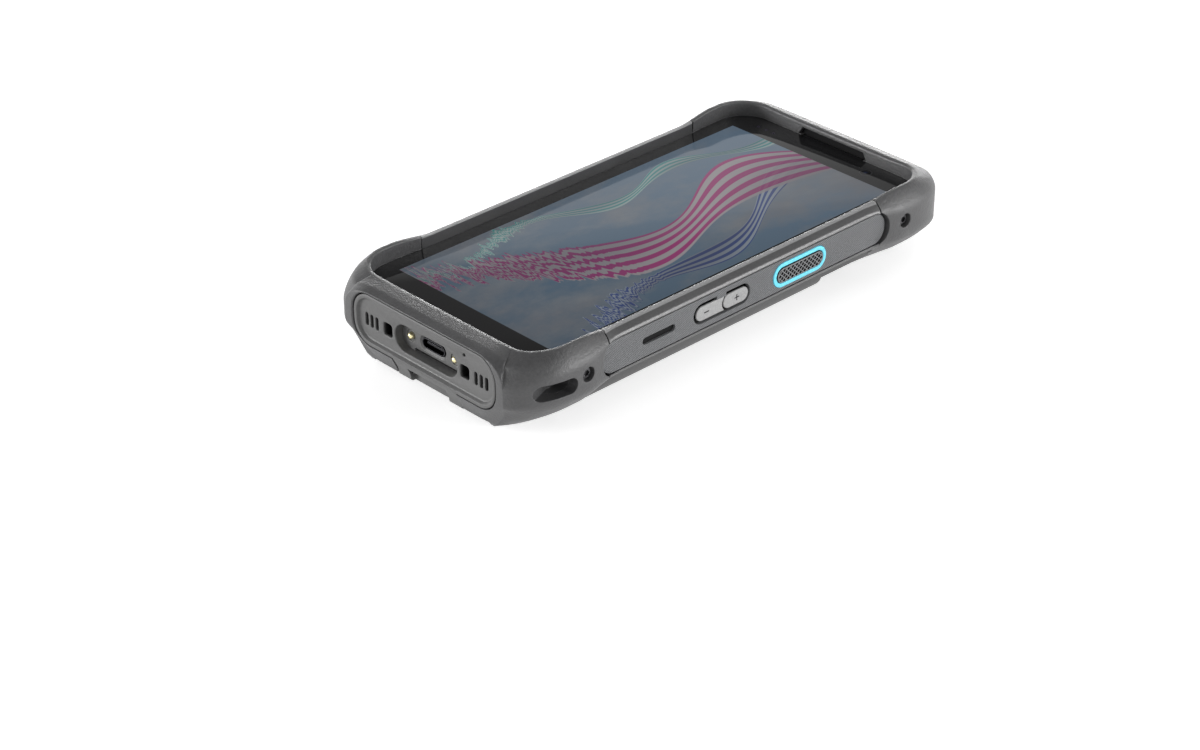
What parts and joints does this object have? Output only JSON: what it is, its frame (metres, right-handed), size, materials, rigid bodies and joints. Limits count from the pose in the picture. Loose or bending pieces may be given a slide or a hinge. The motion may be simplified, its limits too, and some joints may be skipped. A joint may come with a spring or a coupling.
{
  "type": "portable barcode data terminal",
  "caption": "Rugged handheld terminal lying on its back, with a touch screen, bumpers on both ends, side scan and volume keys, a scan window and a battery pack that tilts out.",
  "frame": {"origin": "middle of the device, on the surface that the ridges of its back rest on", "axes": "+X towards the side with the volume keys, +Y towards the end with the scan window, +Z out of the screen"},
  "size_m": [0.0806, 0.166, 0.0243],
  "materials": {
    "frame": "fine-grain dark grey moulding",
    "bumper": "fine-grain dark grey moulding, soft sheen",
    "panel": "fine-grain grey moulding",
    "inlay": "finely ribbed mid-grey moulding",
    "glass": "polished",
    "display": "smooth",
    "black_lens": "polished",
    "mesh_black": "fine mesh",
    "key_pad": "knurled",
    "key_ring": "satin",
    "key_cap": "satin",
    "switch": "satin",
    "battery_case": "fine-grain dark grey moulding",
    "cell": "satin film",
    "gold": "gold-plated",
    "latch_plastic": "satin",
    "steel": "brushed",
    "black_gloss": "polished",
    "flash": "clear over a yellow emitter",
    "board": "lacquered",
    "screw": "blackened",
    "seal": "matt"
  },
  "bodies": {
    "housing": {"front_frame": "frame", "rear_housing": "frame", "bottom_bumper": "bumper", "top_bumper": "bumper", "bottom_end_panel": "panel", "top_end_panel": "panel", "right_inlay": "inlay", "left_inlay": "inlay", "cover_glass": "glass", "display_panel": "display", "front_camera": "black_lens", "light_sensor": "black_lens", "earpiece_mesh": "mesh_black", "scan_ring_right": "key_ring", "scan_ring_left": "key_ring", "side_switches": "switch", "power_switch": "switch", "battery_terminals": "switch", "camera_window": "black_gloss", "rear_camera": "black_lens", "rear_sensors": "black_lens", "flash_led": "flash", "pogo_block": "switch", "pogo_pins": "gold", "dock_floor": "panel", "usb_socket": "steel", "charging_pins": "gold", "scan_window": "black_gloss", "scan_engine": "switch", "main_board": "board", "loudspeaker": "switch", "vibration_motor": "steel", "side_screws": "screw", "rear_screws": "screw", "battery_seal": "seal"},
    "right scan key": {"scan_key_right": "key_pad"},
    "left scan key": {"scan_key_left": "key_pad"},
    "volume up key": {"volume_up_key": "key_cap"},
    "volume down key": {"volume_down_key": "key_cap"},
    "power key": {"power_key": "key_cap"},
    "battery": {"battery_shell": "battery_case", "battery_cells": "cell", "battery_contacts": "gold", "latch_spring": "steel"},
    "latch": {"battery_latch": "latch_plastic"}
  },
  "joints": [
    {"name": "right_scan_key_press", "type": "slide", "parent": "housing", "child": "right scan key", "axis": [-1, 0, 0], "range_m": [0, 0.0005], "stiffness_N_per_m": 400},
    {"name": "left_scan_key_press", "type": "slide", "parent": "housing", "child": "left scan key", "axis": [1, 0, 0], "range_m": [0, 0.0005], "stiffness_N_per_m": 400},
    {"name": "volume_up_press", "type": "slide", "parent": "housing", "child": "volume up key", "axis": [-1, 0, 0], "range_m": [0, 0.0005], "stiffness_N_per_m": 300},
    {"name": "volume_down_press", "type": "slide", "parent": "housing", "child": "volume down key", "axis": [-1, 0, 0], "range_m": [0, 0.0005], "stiffness_N_per_m": 300},
    {"name": "power_press", "type": "slide", "parent": "housing", "child": "power key", "axis": [0, -1, 0], "range_m": [0, 0.0005], "stiffness_N_per_m": 300},
    {"name": "battery_tilt", "type": "hinge", "parent": "housing", "child": "battery", "pos_m": [0, -0.06125, 0.0019], "axis": [-1, 0, 0], "range_deg": [0, 35]},
    {"name": "latch_slide", "type": "slide", "parent": "battery", "child": "latch", "axis": [-1, 0, 0], "range_m": [0, 0.0016], "stiffness_N_per_m": 250, "deforming": ["latch_spring"]}
  ]
}
